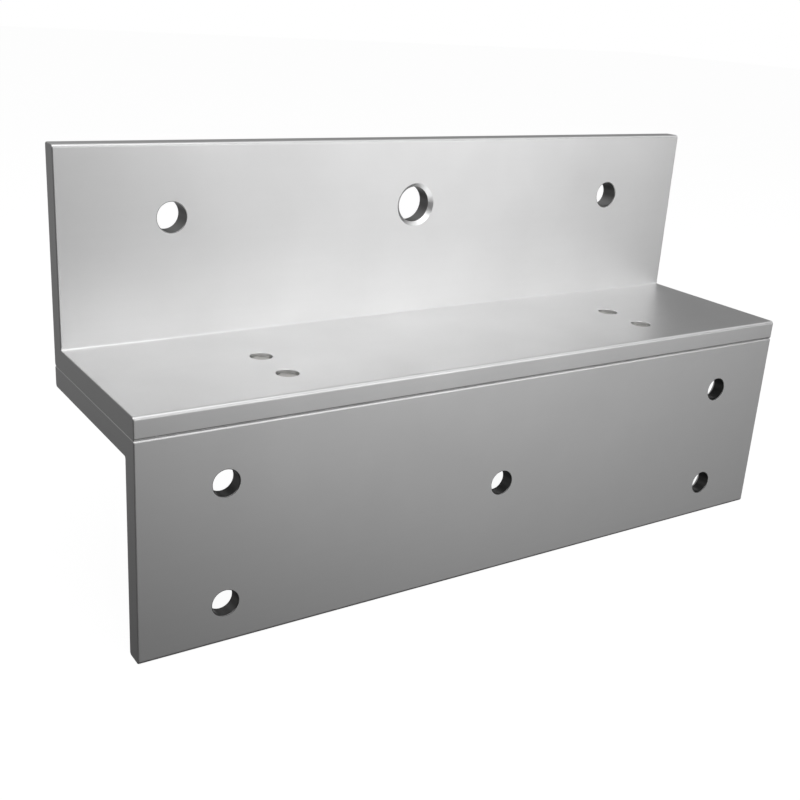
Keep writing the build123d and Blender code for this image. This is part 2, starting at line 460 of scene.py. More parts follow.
stainless_screw = make_tumbled_steel("stainless screws", (0.5, 0.49, 0.475), (0.62, 0.61, 0.59), 0.34, 0.25,
                                     0.01 * MM)
zinc_washer = make_tumbled_steel("zinc on washers", (0.5, 0.52, 0.55), (0.62, 0.62, 0.59), 0.36, 0.25,
                                 0.02 * MM)
print("made", stainless_screw.name, "/", zinc_washer.name)

# %% [markdown]
# ## A length of angle
# Aluminium angle is extruded: hot metal is pushed through a die, so its section is the same all the way. The
# mesh follows that. The L outline gets an arc at each corner, then rings of the outline are set along the
# length and joined. The saw cut is broken by hand with a file, so the rings near an end shrink round a small
# quarter circle. An arc keeps its centre as it shrinks, so all rings have the same points and join as quads.

# %% Outline of a rounded section
OUTER_RADIUS, SEAM_RADIUS, SHELF_EDGE_RADIUS, INNER_RADIUS = 0.8 * MM, 0.4 * MM, 0.6 * MM, 0.5 * MM
ARC_STEPS = 7


def section_outline(corners, inset):
    """Points round a section of right-angled corners (y, z, radius), shrunk by an inset."""
    points = []
    for index, (y, z, radius) in enumerate(corners):
        corner = Vector((y, z))
        arriving = (corner - Vector(corners[index - 1][:2])).normalized()
        leaving = (Vector(corners[(index + 1) % len(corners)][:2]) - corner).normalized()
        centre = corner - arriving * radius + leaving * radius
        is_inner = arriving.cross(leaving) < 0
        shrunk = radius + inset if is_inner else radius - inset
        for step in range(ARC_STEPS + 1):
            angle = math.radians(90) * step / ARC_STEPS
            points.append(centre - leaving * shrunk * math.cos(angle) + arriving * shrunk * math.sin(angle))
    return points


door_section = (
    (0, BOTTOM, OUTER_RADIUS), (THICKNESS, BOTTOM, OUTER_RADIUS), (THICKNESS, UNDERSIDE, INNER_RADIUS),
    (DEPTH, UNDERSIDE, OUTER_RADIUS), (DEPTH, SEAM, SEAM_RADIUS), (0, SEAM, SEAM_RADIUS),
)
armature_section = (
    (0, SEAM, SHELF_EDGE_RADIUS), (DEPTH, SEAM, OUTER_RADIUS), (DEPTH, TOP, OUTER_RADIUS),
    (UPRIGHT, TOP, OUTER_RADIUS), (UPRIGHT, SHELF, INNER_RADIUS), (0, SHELF, OUTER_RADIUS),
)
print("points round a section:", len(section_outline(door_section, 0)))


# %% Extrude the section
END_BREAK = 0.25 * MM
BREAK_STEPS = 3


def end_rings():
    """(x, inset) of the rings, from the left end to the right end."""
    left = []
    for step in range(BREAK_STEPS + 1):
        angle = math.radians(90) * step / BREAK_STEPS
        left.append((END_BREAK * (1 - math.cos(angle)) - HALF_LENGTH, END_BREAK * (1 - math.sin(angle))))
    return left + [(-x, inset) for x, inset in reversed(left)]


def make_bar(name, corners):
    """A bar of one section, with an end finish on its two end faces."""
    shape = bmesh.new()
    rings = []
    for x, inset in end_rings():
        rings.append([shape.verts.new((x, y, z)) for y, z in section_outline(corners, inset)])
    for near, far in zip(rings, rings[1:]):
        for index in range(len(near)):
            after = (index + 1) % len(near)
            shape.faces.new((near[index], near[after], far[after], far[index]))
    for ring in (rings[0], rings[-1]):
        shape.faces.new(ring).material_index = 1
    bmesh.ops.recalc_face_normals(shape, faces=shape.faces)
    mesh = bpy.data.meshes.new(name)
    shape.to_mesh(mesh)
    shape.free()
    mesh.materials.append(anodised_face)
    mesh.materials.append(sawn_end)
    bar = bpy.data.objects.new(name, mesh)
    bpy.context.scene.collection.objects.link(bar)
    return bar


door_angle = make_bar("door_angle", door_section)
armature_angle = make_bar("armature_angle", armature_section)
print("faces before drilling:", len(door_angle.data.polygons), "and", len(armature_angle.data.polygons))

# %% [markdown]
# ## A lathe in Geometry Nodes
# Drills, screws and washers are all turned shapes: a profile spun about an axis. A Screw modifier could spin
# them, but it can't cut a thread or a knurl. This tree bends a grid round the axis instead, one row for each
# point of the profile, so it can pull points inwards where a thread's groove or a knurl's valley runs. When
# the two halves are moved apart, a drill becomes the cutter of a slot, so one tree makes every tool too.

# %% Lathe tree: rows and columns
def add_profile_sample(tree, given):
    """A grid with a row for each profile point: returns the grid, column, turn, radius and height."""
    sides = given.outputs["Sides"]
    size = add_node(tree, "GeometryNodeAttributeDomainSize", component="MESH")
    feed(tree, size.inputs[0], given.outputs["Profile"])
    rows = size.outputs["Point Count"]
    grid = add_node(tree, "GeometryNodeMeshGrid")
    feed(tree, grid.inputs["Size X"], 1.0)
    feed(tree, grid.inputs["Size Y"], 1.0)
    feed(tree, grid.inputs["Vertices X"], sums(tree, "ADD", sides, 1.0))
    feed(tree, grid.inputs["Vertices Y"], rows)

    position = add_node(tree, "GeometryNodeInputPosition").outputs[0]
    place = add_node(tree, "ShaderNodeSeparateXYZ")
    feed(tree, place.inputs[0], position)
    column = sums(tree, "ROUND", sums(tree, "MULTIPLY", sums(tree, "ADD", place.outputs["X"], 0.5), sides))
    last_row = sums(tree, "SUBTRACT", rows, 1.0)
    row = sums(tree, "ROUND", sums(tree, "MULTIPLY", sums(tree, "ADD", place.outputs["Y"], 0.5), last_row))
    turn = sums(tree, "DIVIDE", sums(tree, "ADD", column, 0.5), sides)

    sample = add_node(tree, "GeometryNodeSampleIndex", data_type="FLOAT_VECTOR")
    feed(tree, sample.inputs["Geometry"], given.outputs["Profile"])
    feed(tree, sample.inputs["Value"], position)
    feed(tree, sample.inputs["Index"], row)
    profile = add_node(tree, "ShaderNodeSeparateXYZ")
    feed(tree, profile.inputs[0], sample.outputs["Value"])
    return grid.outputs["Mesh"], column, turn, profile.outputs["X"], profile.outputs["Z"]


# %% Lathe tree: thread and knurl
# Shares of the pitch that the flat crest and the two flanks of a metric thread take up
CREST_SHARE, FLANKS_SHARE = 1 / 8, 5 / 8


def add_thread(tree, given, turn, radius, height):
    """Limit the radius by a groove that climbs one pitch in each turn, with 60 degree flanks."""
    climb = sums(tree, "SUBTRACT", sums(tree, "DIVIDE", height, given.outputs["Thread pitch"]), turn)
    phase = sums(tree, "ABSOLUTE", sums(tree, "SUBTRACT", sums(tree, "FRACT", climb), 0.5))
    past_crest = sums(tree, "SUBTRACT", sums(tree, "MULTIPLY", phase, 2.0), CREST_SHARE)
    groove = sums(tree, "DIVIDE", past_crest, FLANKS_SHARE, use_clamp=True)
    cut = sums(tree, "MULTIPLY", groove, given.outputs["Thread depth"])
    plain = sums(tree, "LESS_THAN", height, given.outputs["Thread start"])
    limit = sums(tree, "ADD", sums(tree, "SUBTRACT", given.outputs["Thread radius"], cut), plain)
    return sums(tree, "MINIMUM", radius, limit)


def add_knurl(tree, given, column, radius, height):
    """Pull every other column of a band inwards."""
    above = sums(tree, "GREATER_THAN", height, given.outputs["Knurl start"])
    below = sums(tree, "LESS_THAN", height, given.outputs["Knurl end"])
    odd = sums(tree, "FLOORED_MODULO", column, 2.0)
    valley = sums(tree, "MULTIPLY", odd, sums(tree, "MULTIPLY", above, below))
    return sums(tree, "SUBTRACT", radius, sums(tree, "MULTIPLY", valley, given.outputs["Knurl depth"]))


# %% Lathe tree: bend, weld and finish
LATHE_INPUTS = {
    "Profile": "NodeSocketGeometry", "Sides": "NodeSocketInt", "Thread pitch": "NodeSocketFloat",
    "Thread depth": "NodeSocketFloat", "Thread radius": "NodeSocketFloat",
    "Thread start": "NodeSocketFloat", "Knurl depth": "NodeSocketFloat", "Knurl start": "NodeSocketFloat",
    "Knurl end": "NodeSocketFloat", "Stretch": "NodeSocketFloat", "Turn": "NodeSocketFloat",
    "Finish": "NodeSocketMaterial",
}


def build_lathe():
    """Spin a profile of (radius, 0, height) points about the Z axis."""
    tree, given, result = new_group("Lathe", "GeometryNodeTree", LATHE_INPUTS,
                                    {"Geometry": "NodeSocketGeometry"})
    # A start of one metre is past the end of any profile, so a piece has no thread unless it asks for one.
    tree.interface.items_tree["Thread start"].default_value = 1.0
    grid, column, turn, radius, height = add_profile_sample(tree, given)
    radius = add_thread(tree, given, turn, radius, height)
    radius = add_knurl(tree, given, column, radius, height)

    angle = sums(tree, "MULTIPLY", turn, math.tau)
    half = sums(tree, "SIGN", sums(tree, "SINE", angle))
    along = sums(tree, "MULTIPLY", radius, sums(tree, "SINE", angle))
    target = add_node(tree, "ShaderNodeCombineXYZ")
    feed(tree, target.inputs["X"], sums(tree, "MULTIPLY", radius, sums(tree, "COSINE", angle)))
    feed(tree, target.inputs["Y"],
         sums(tree, "ADD", along, sums(tree, "MULTIPLY", half, given.outputs["Stretch"])))
    feed(tree, target.inputs["Z"], height)
    bend = add_node(tree, "GeometryNodeSetPosition")
    feed(tree, bend.inputs["Geometry"], grid)
    feed(tree, bend.inputs["Position"], target.outputs[0])

    weld = add_node(tree, "GeometryNodeMergeByDistance")
    feed(tree, weld.inputs["Geometry"], bend.outputs["Geometry"])
    feed(tree, weld.inputs["Distance"], 1e-6)
    spin = add_node(tree, "ShaderNodeCombineXYZ")
    feed(tree, spin.inputs["Z"], given.outputs["Turn"])
    turned_piece = add_node(tree, "GeometryNodeTransform")
    feed(tree, turned_piece.inputs["Geometry"], weld.outputs["Geometry"])
    feed(tree, turned_piece.inputs["Rotation"], spin.outputs[0])
    finish_tree(tree, given, result, turned_piece.outputs["Geometry"])
    return tree


def finish_tree(tree, given, result, geometry):
    """End a tree with Realize Instances and Set Material."""
    realize = add_node(tree, "GeometryNodeRealizeInstances")
    feed(tree, realize.inputs["Geometry"], geometry)
    finish = add_node(tree, "GeometryNodeSetMaterial")
    feed(tree, finish.inputs["Geometry"], realize.outputs["Geometry"])
    feed(tree, finish.inputs["Material"], given.outputs["Finish"])
    feed(tree, result.inputs["Geometry"], finish.outputs["Geometry"])


lathe = build_lathe()
print("lathe tree:", len(lathe.nodes), "nodes")


# %% Run a tree and keep its mesh
def run_tree(tree, given_mesh, inputs):
    """Evaluate a tree on a mesh and return the result as a plain mesh, with outward normals."""
    holder = bpy.data.objects.new("holder", given_mesh)
    bpy.context.scene.collection.objects.link(holder)
    modifier = holder.modifiers.new(tree.name, "NODES")
    modifier.node_group = tree
    identifiers = {item.name: item.identifier for item in tree.interface.items_tree
                   if item.in_out == "INPUT"}
    for name, value in inputs.items():
        modifier[identifiers[name]] = value
    graph = bpy.context.evaluated_depsgraph_get()
    mesh = bpy.data.meshes.new_from_object(holder.evaluated_get(graph))
    bpy.data.objects.remove(holder)
    face_outward(mesh)
    return mesh


def face_outward(mesh):
    """Weld doubles and turn every face outward."""
    shape = bmesh.new()
    shape.from_mesh(mesh)
    bmesh.ops.remove_doubles(shape, verts=shape.verts, dist=1e-7)
    bmesh.ops.dissolve_degenerate(shape, dist=1e-8, edges=shape.edges)
    bmesh.ops.recalc_face_normals(shape, faces=shape.faces)
    shape.to_mesh(mesh)
    shape.free()


def points_mesh(name, points):
    """A mesh of loose points, for a tree to read."""
    mesh = bpy.data.meshes.new(name)
    mesh.from_pydata(points, [], [])
    return mesh


def turn_on_lathe(name, profile, **inputs):
    """A turned mesh from (radius, height) pairs; input names are written with underscores."""
    points = [(radius, 0, height) for radius, height in profile]
    named = {key.replace("_", " ").capitalize(): value for key, value in inputs.items()}
    return run_tree(lathe, points_mesh(name, points), named)


print("the lathe is ready to run")

# %% [markdown]
# ## Drilling
# A drill followed by a deburring tool leaves a straight wall that rolls over into the face, and a countersink
# leaves a cone. Each cutter here runs out past the face, so that the cut never shares a plane with the metal,
# and the drill's profile has the eased edges of both faces. A second tree sets the cutter out at every place
# of a pattern, and an exact boolean takes the metal away. The wall keeps the cutter's material, so each cut
# has its own finish.

# %% A drill with an eased edge at each end
CLEAR = 1.5 * MM
DEBURRED = (0.2 * MM, 3)


def eased_edge(radius, size, steps):
    """Facets between a wall and a face: (radius, depth) from the face to the wall."""
    facet = math.radians(90) / steps
    run_out = CLEAR / math.tan(facet / 2)
    points = [(radius + size + run_out, -CLEAR)]
    for step in range(1, steps + 1):
        points.append((radius + size * (1 - math.sin(step * facet)), size * (1 - math.cos(step * facet))))
    return points


def drill_profile(radius, near_edge=DEBURRED, far_edge=DEBURRED):
    """Profile of a cutter through a leg, with a size and a number of facets for the edge at each face."""
    near = eased_edge(radius, *near_edge)
    far = [(reach, THICKNESS - rise) for reach, rise in eased_edge(radius, *far_edge)]
    return [(0, -CLEAR)] + near + far[::-1] + [(0, THICKNESS + CLEAR)]


def sink_profile(radius, size):
    """Profile of a right-angled countersink that widens a hole by its size at the face."""
    return [(0, -CLEAR), (radius + size + CLEAR, -CLEAR), (radius - CLEAR, size + CLEAR), (0, size + CLEAR)]


print("a drill of 3 mm radius has", len(drill_profile(3 * MM)), "profile points")


# %% Setting-out tree
def build_setting_out():
    """Stand a tool at every point of a pattern."""
    tree, given, result = new_group(
        "Set out a tool",
        "GeometryNodeTree",
        {"Places": "NodeSocketGeometry", "Tool": "NodeSocketObject", "Tilt": "NodeSocketFloat",
         "Finish": "NodeSocketMaterial"},
        {"Geometry": "NodeSocketGeometry"},
    )
    tool = add_node(tree, "GeometryNodeObjectInfo", transform_space="ORIGINAL")
    feed(tree, tool.inputs["Object"], given.outputs["Tool"])
    tilt = add_node(tree, "ShaderNodeCombineXYZ")
    feed(tree, tilt.inputs["X"], given.outputs["Tilt"])
    copies = add_node(tree, "GeometryNodeInstanceOnPoints")
    feed(tree, copies.inputs["Points"], given.outputs["Places"])
    feed(tree, copies.inputs["Instance"], tool.outputs["Geometry"])
    feed(tree, copies.inputs["Rotation"], tilt.outputs[0])
    finish_tree(tree, given, result, copies.outputs["Instances"])
    return tree


setting_out = build_setting_out()
print("setting-out tree:", len(setting_out.nodes), "nodes")


# %% Cut a pattern into a piece
def cut(piece, tool_mesh, places, tilt, finish):
    """Take a tool's shape out of a piece at every place of a pattern."""
    tool = bpy.data.objects.new("tool", tool_mesh)
    bpy.context.scene.collection.objects.link(tool)
    cutters = run_tree(setting_out, points_mesh("places", places),
                       {"Tool": tool, "Tilt": tilt, "Finish": finish})
    bpy.data.objects.remove(tool)
    cutter = bpy.data.objects.new("cutter", cutters)
    bpy.context.scene.collection.objects.link(cutter)
    modifier = piece.modifiers.new("cut", "BOOLEAN")
    modifier.operation = "DIFFERENCE"
    modifier.solver = "EXACT"
    modifier.material_mode = "TRANSFER"
    modifier.object = cutter
    apply_modifiers(piece)
    bpy.data.objects.remove(cutter)


def apply_modifiers(piece):
    """Turn a piece and its modifiers into one plain mesh."""
    graph = bpy.context.evaluated_depsgraph_get()
    result = bpy.data.meshes.new_from_object(piece.evaluated_get(graph))
    result.name = piece.name
    piece.modifiers.clear()
    piece.data = result


QUARTER_TURN = math.radians(90)
print("cuts through an upright leg tilt the tool by", round(math.degrees(QUARTER_TURN)), "degrees")

# %% [markdown]
# ## Holes in the door angle
# Four screws and one more in the middle fix this angle to the door's top rail. They go in from the back of
# the leg, so each hole is countersunk there to let the head lie flush. The level leg has two slots that the
# clamp screws slide in, so the armature plate can be set nearer to the magnet or further off. The slots run
# back from each screw's rest place by the joint's travel.

# %% Drill the door leg
DOOR_SINK = 1.7 * MM
HOLE_SIDES = 96
door_hole_radius = door_pattern["hole_r_mm"] * MM
half_x = door_pattern["spacing_x_mm"] * MM / 2
half_z = door_pattern["spacing_y_mm"] * MM / 2
door_places = [(x, 0, z) for x in (-half_x, half_x) for z in (-half_z, half_z)] + [(0, 0, 0)]

# Tilting by minus a quarter turn points the tool's +Z along +Y, into the plate.
door_drill = turn_on_lathe("door drill", drill_profile(door_hole_radius), sides=HOLE_SIDES)
cut(door_angle, door_drill, door_places, -QUARTER_TURN, door_hole_wall_painted_shade)

# The countersink comes from the back, so it tilts the other way.
door_sink = turn_on_lathe("door countersink", sink_profile(door_hole_radius, DOOR_SINK), sides=HOLE_SIDES)
back_places = [(x, THICKNESS, z) for x, y, z in door_places]
cut(door_angle, door_sink, back_places, QUARTER_TURN, upright_hole_wall_painted_shade)
print("door angle:", len(door_places), "holes,", len(door_angle.data.polygons), "faces")

# %% Mill the adjusting slots
SLOT_RADIUS = 2.9 * MM
slot_start, slot_end = SCREW_PLACES["left_front"].y, SCREW_PLACES["left_rear"].y + TRAVEL
slot_cutter = turn_on_lathe("slot cutter", drill_profile(SLOT_RADIUS), sides=HOLE_SIDES,
                            stretch=(slot_end - slot_start) / 2)
slot_places = [(SCREW_PLACES[row].x, (slot_start + slot_end) / 2, UNDERSIDE)
               for row in ("left_front", "right_front")]
cut(door_angle, slot_cutter, slot_places, 0.0, milled_slot)
print("slots are", round((slot_end - slot_start + 2 * SLOT_RADIUS) / MM, 1), "mm long over their round ends")

# %% [markdown]
# ## Holes in the armature angle
# The upright leg carries the armature plate: a bolt in the wide middle hole lets the plate rock, and two pins
# in the smaller holes stop it from turning. The bolt hole is countersunk a little in front, because a rubber
# washer sits there. That was done before anodising, so the cone has the finish of the faces. The level leg
# has four tapped holes, where the clamp screws come up from below.

# %% Drill the upright leg
BOLT_SINK = 1.0 * MM
bolt_radius = mounts["armature_bolt_hole"]["dims"]["r_mm"] * MM
bolt_drill = turn_on_lathe("bolt drill", drill_profile(bolt_radius), sides=HOLE_SIDES)
cut(armature_angle, bolt_drill, [(0, UPRIGHT, ARMATURE_ROW)], -QUARTER_TURN, upright_hole_wall_painted_shade)

bolt_sink = turn_on_lathe("bolt countersink", sink_profile(bolt_radius, BOLT_SINK), sides=HOLE_SIDES)
cut(armature_angle, bolt_sink, [(0, UPRIGHT, ARMATURE_ROW)], -QUARTER_TURN, anodised_face)

pin_x = pin_pattern["spacing_x_mm"] * MM / 2
pin_drill = turn_on_lathe("pin drill", drill_profile(pin_pattern["hole_r_mm"] * MM), sides=HOLE_SIDES)
pin_places = [(x, UPRIGHT, ARMATURE_ROW) for x in (-pin_x, pin_x)]
cut(armature_angle, pin_drill, pin_places, -QUARTER_TURN, upright_hole_wall_painted_shade)
print("armature angle:", 1 + len(pin_places), "holes in the upright leg")

# %% Tap the level leg
TAPPED_RADIUS = 2.55 * MM
TAPPED_MOUTH = (0.1 * MM, 1)
tap_drill = turn_on_lathe("tap drill", drill_profile(TAPPED_RADIUS, TAPPED_MOUTH, TAPPED_MOUTH),
                          sides=HOLE_SIDES)
tapped_places = [(place.x, place.y, SEAM) for place in SCREW_PLACES.values()]
cut(armature_angle, tap_drill, tapped_places, 0.0, tapped_wall)
print("armature angle:", len(tapped_places), "tapped holes,", len(armature_angle.data.polygons), "faces")

# %% [markdown]
# ## Clamp screws
# The screws are M5 socket heads, made by cold heading and thread rolling. The head is knurled round its side
# so that fingers can start it, and a hexagon socket takes the key. The turned profile has many short rows
# along the shank, because the lathe can only cut the thread's groove where the mesh has points to move.

# %% Profile of a screw
SCREW_RADIUS, HEAD_RADIUS, HEAD_HEIGHT = 2.5 * MM, 4.25 * MM, 5.0 * MM
PITCH, THREAD_DEPTH = 0.8 * MM, 0.49 * MM
KNURL_START, KNURL_END = 0.7 * MM, 4.3 * MM
ROWS_PER_PITCH = 10
screw_length = SCREW_TIP - HEAD_END
thread_start = HEAD_HEIGHT + 0.5 * MM

screw_profile = [(0, 0), (3.7 * MM, 0), (3.98 * MM, 0.06 * MM), (4.19 * MM, 0.22 * MM)]
screw_profile += [(HEAD_RADIUS, 0.45 * MM)]
screw_profile += [(HEAD_RADIUS, KNURL_START - 0.05 * MM), (HEAD_RADIUS, KNURL_START + 0.05 * MM)]
screw_profile += [(HEAD_RADIUS, KNURL_END - 0.05 * MM), (HEAD_RADIUS, KNURL_END + 0.05 * MM)]
screw_profile += [(HEAD_RADIUS, HEAD_HEIGHT - 0.2 * MM), (HEAD_RADIUS - 0.12 * MM, HEAD_HEIGHT)]
screw_profile += [(2.9 * MM, HEAD_HEIGHT), (2.6 * MM, HEAD_HEIGHT + 0.1 * MM)]
screw_profile += [(SCREW_RADIUS, HEAD_HEIGHT + 0.3 * MM), (SCREW_RADIUS, thread_start)]
threaded_length = screw_length - thread_start - 0.5 * MM
row_count = round(threaded_length / PITCH * ROWS_PER_PITCH)
for row in range(1, row_count + 1):
    screw_profile.append((SCREW_RADIUS, thread_start + threaded_length * row / row_count))
for share in (0.25, 0.5, 0.75, 1.0):
    screw_profile.append((SCREW_RADIUS - 0.5 * MM * share, screw_length - 0.5 * MM * (1 - share)))
screw_profile += [(1.7 * MM, screw_length), (0, screw_length)]
print("screw profile:", len(screw_profile), "points over", round(screw_length / MM, 1), "mm")

# %% Turn a screw and broach its socket
SOCKET_CORNER = 4.0 * MM / 2 / math.cos(math.radians(30))
SOCKET_DEPTH = 2.5 * MM
socket_profile = [(0, -MM), (SOCKET_CORNER, -MM), (SOCKET_CORNER, SOCKET_DEPTH), (0, SOCKET_DEPTH + 0.7 * MM)]
mouth_profile = [(0, -MM), (SOCKET_CORNER + 1.3 * MM, -MM), (SOCKET_CORNER - 0.35 * MM, 0.65 * MM),
                 (0, 0.65 * MM)]


def make_screw(name, place, turn):
    """A clamp screw with its head down, turned to wherever it came tight."""
    mesh = turn_on_lathe(name, screw_profile, sides=96, thread_pitch=PITCH, thread_depth=THREAD_DEPTH,
                         thread_radius=SCREW_RADIUS, thread_start=thread_start, knurl_depth=0.14 * MM,
                         knurl_start=KNURL_START, knurl_end=KNURL_END, turn=turn, finish=stainless_screw)
    screw = bpy.data.objects.new(name, mesh)
    bpy.context.scene.collection.objects.link(screw)
    key = turn_on_lathe("socket", socket_profile, sides=6, turn=turn, finish=stainless_screw)
    cut(screw, key, [(0, 0, 0)], 0.0, stainless_screw)
    mouth = turn_on_lathe("mouth", mouth_profile, sides=48, turn=turn, finish=stainless_screw)
    cut(screw, mouth, [(0, 0, 0)], 0.0, stainless_screw)
    screw.data.transform(Matrix.Translation(place + Vector((0, 0, HEAD_END))))
    return screw


chance = random.Random(5)
pieces = {}
for place_name, place in SCREW_PLACES.items():
    screw = make_screw(f"screw_{place_name}", place, chance.uniform(0, math.tau))
    pieces[screw] = f"clamp_screw_{place_name}"
print("screws:", len(pieces), "with", len(screw.data.polygons), "faces each")

# %% [markdown]
# ## Washers
# A flat washer is stamped from sheet. The punch rolls one edge over and leaves the other sharp, so its two
# faces differ. It is kept a hair thin, so that it clears the angle it slides on. A spring washer is a short
# length of square wire wound into one turn and cut at a slant. Under a tight screw it's pressed nearly flat,
# and only the slanted gap still shows. A curve swept along an arc makes it, because a lathe can't leave a gap.

# %% Flat washers
RUNNING_GAP = 0.02 * MM


def make_flat_washer(name, place, turn):
    """A stamped washer, rolled over at the top and sharp below."""
    inner, outer, thickness = 2.65 * MM, 5.0 * MM, washer_high.z - washer_low.z - RUNNING_GAP
    roll = 0.18 * MM
    profile = [(inner + 0.03 * MM, 0), (outer - 0.03 * MM, 0), (outer, 0.03 * MM), (outer, thickness - roll)]
    profile += [(outer - 0.05 * MM, thickness - 0.05 * MM), (outer - roll, thickness)]
    profile += [(inner + roll, thickness), (inner + 0.05 * MM, thickness - 0.05 * MM)]
    profile += [(inner, thickness - roll), (inner, 0.03 * MM)]
    profile.append(profile[0])
    mesh = turn_on_lathe(name, profile, sides=96, turn=turn, finish=zinc_washer)
    mesh.transform(Matrix.Translation(place + Vector((0, 0, washer_low.z))))
    washer = bpy.data.objects.new(name, mesh)
    bpy.context.scene.collection.objects.link(washer)
    return washer


for place_name, place in SCREW_PLACES.items():
    washer = make_flat_washer(f"plain_washer_{place_name}", place, chance.uniform(0, math.tau))
    pieces[washer] = f"flat_washer_{place_name}"
print("flat washers have", len(washer.data.polygons), "faces each")


# %% Spring washer tree
def build_split_ring():
    """Sweep a rounded bar section round most of a turn, with slanted ends."""
    tree, given, result = new_group(
        "Split ring",
        "GeometryNodeTree",
        {"Inner radius": "NodeSocketFloat", "Outer radius": "NodeSocketFloat", "Thickness": "NodeSocketFloat",
         "Corner": "NodeSocketFloat", "Gap": "NodeSocketFloat", "Slant": "NodeSocketFloat",
         "Turn": "NodeSocketFloat", "Finish": "NodeSocketMaterial"},
        {"Geometry": "NodeSocketGeometry"},
    )
    inner, outer = given.outputs["Inner radius"], given.outputs["Outer radius"]
    middle = sums(tree, "MULTIPLY", sums(tree, "ADD", inner, outer), 0.5)
    gap_angle = sums(tree, "DIVIDE", given.outputs["Gap"], middle)
    ring = add_node(tree, "GeometryNodeCurveArc", mode="RADIUS")
    feed(tree, ring.inputs["Resolution"], 97)
    feed(tree, ring.inputs["Radius"], middle)
    feed(tree, ring.inputs["Start Angle"], sums(tree, "MULTIPLY", gap_angle, 0.5))
    feed(tree, ring.inputs["Sweep Angle"], sums(tree, "SUBTRACT", math.tau, gap_angle))

    bar = add_node(tree, "GeometryNodeCurvePrimitiveQuadrilateral")
    feed(tree, bar.inputs["Width"], sums(tree, "SUBTRACT", outer, inner))
    feed(tree, bar.inputs["Height"], given.outputs["Thickness"])
    rounded = add_node(tree, "GeometryNodeFilletCurve", mode="POLY")
    feed(tree, rounded.inputs["Curve"], bar.outputs["Curve"])
    feed(tree, rounded.inputs["Count"], 3)
    feed(tree, rounded.inputs["Radius"], given.outputs["Corner"])
    sweep = add_node(tree, "GeometryNodeCurveToMesh")
    feed(tree, sweep.inputs["Curve"], ring.outputs["Curve"])
    feed(tree, sweep.inputs["Profile Curve"], rounded.outputs["Curve"])
    feed(tree, sweep.inputs["Fill Caps"], True)

    place = add_node(tree, "ShaderNodeSeparateXYZ")
    position = add_node(tree, "GeometryNodeInputPosition").outputs[0]
    feed(tree, place.inputs[0], position)
    lean = sums(tree, "DIVIDE", sums(tree, "MULTIPLY", place.outputs["Z"], given.outputs["Slant"]), middle)
    slanted = add_node(tree, "ShaderNodeVectorRotate", rotation_type="Z_AXIS")
    feed(tree, slanted.inputs["Vector"], position)
    feed(tree, slanted.inputs["Angle"], sums(tree, "ADD", lean, given.outputs["Turn"]))
    shaped = add_node(tree, "GeometryNodeSetPosition")
    feed(tree, shaped.inputs["Geometry"], sweep.outputs["Mesh"])
    feed(tree, shaped.inputs["Position"], slanted.outputs[0])
    finish_tree(tree, given, result, shaped.outputs["Geometry"])
    return tree


split_ring = build_split_ring()
print("split ring tree:", len(split_ring.nodes), "nodes")

# %% Spring washers
SPLIT_SLANT = math.tan(math.radians(20))
spring_radius, spring_thickness = (spring_high.x - spring_low.x) / 2, spring_high.z - spring_low.z
for place_name, place in SCREW_PLACES.items():
    ring_name = f"split_washer_{place_name}"
    mesh = run_tree(split_ring, points_mesh(ring_name, [(0, 0, 0)]), {
        "Inner radius": 2.6 * MM, "Outer radius": spring_radius, "Thickness": spring_thickness,
        "Corner": 0.18 * MM, "Gap": 0.5 * MM, "Slant": SPLIT_SLANT, "Turn": -QUARTER_TURN,
        "Finish": zinc_washer,
    })
    mesh.transform(Matrix.Translation(place + Vector((0, 0, (spring_low.z + spring_high.z) / 2))))
    ring = bpy.data.objects.new(ring_name, mesh)
    bpy.context.scene.collection.objects.link(ring)
    pieces[ring] = f"spring_washer_{place_name}"
print("spring washers have", len(mesh.polygons), "faces each")

# %% [markdown]
# ## Clean shading
# The metal is flat faces with tight edges. Smooth shading alone would bend the light across a flat face near
# its edges. So edges sharper than a limit are marked, and the normals are weighted by face area, which leaves
# large faces flat and lets the small arcs between them roll over smoothly.

# %% Shade every piece
SHARP_ANGLE = math.radians(32)


def shade_cleanly(piece):
    """Smooth shading that keeps flat faces flat."""
    shape = bmesh.new()
    shape.from_mesh(piece.data)
    bmesh.ops.remove_doubles(shape, verts=shape.verts, dist=1e-6)
    bmesh.ops.recalc_face_normals(shape, faces=shape.faces)
    for face in shape.faces:
        face.smooth = True
    for edge in shape.edges:
        edge.smooth = len(edge.link_faces) == 2 and edge.calc_face_angle() < SHARP_ANGLE
    shape.to_mesh(piece.data)
    shape.free()
    weighting = piece.modifiers.new("weighting", "WEIGHTED_NORMAL")
    weighting.mode = "FACE_AREA"
    weighting.weight = 100
    weighting.keep_sharp = True
    apply_modifiers(piece)


pieces[door_angle] = "door_bracket"
pieces[armature_angle] = "armature_bracket"
for piece in pieces:
    shade_cleanly(piece)
print("shaded", len(pieces), "pieces")

# %% [markdown]
# ## Hand the pieces to the frame
# Each finished piece stands for one CAD node and rides on the body that this node belongs to. From here on the
# joint moves the real-looking pieces.

# %% Ride and replace
body_of = {node: body for body, nodes in frame["record"]["behaviour"]["bodies"].items() for node in nodes}
for piece, node in pieces.items():
    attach(piece, body_of[node])
    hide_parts(node)
    if "bracket" in node:
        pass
    elif "screw" in node:
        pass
    else:
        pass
    print(piece.name, "stands for", node, "on", body_of[node])

# %% [markdown]
# ## The floor
# A product like this is shown on a seamless white sweep, and the sheet is lit so evenly that it goes white
# and keeps almost no shadow. The floor here glows by itself with a little real shading on top. Seen from
# underneath it turns clear, so that the underside of the bracket can be looked at. It is left out of
# reflections, because the surroundings below stand for the light that a sweep sends back.

# %% Pale floor
FLOOR_HALF = 3.0


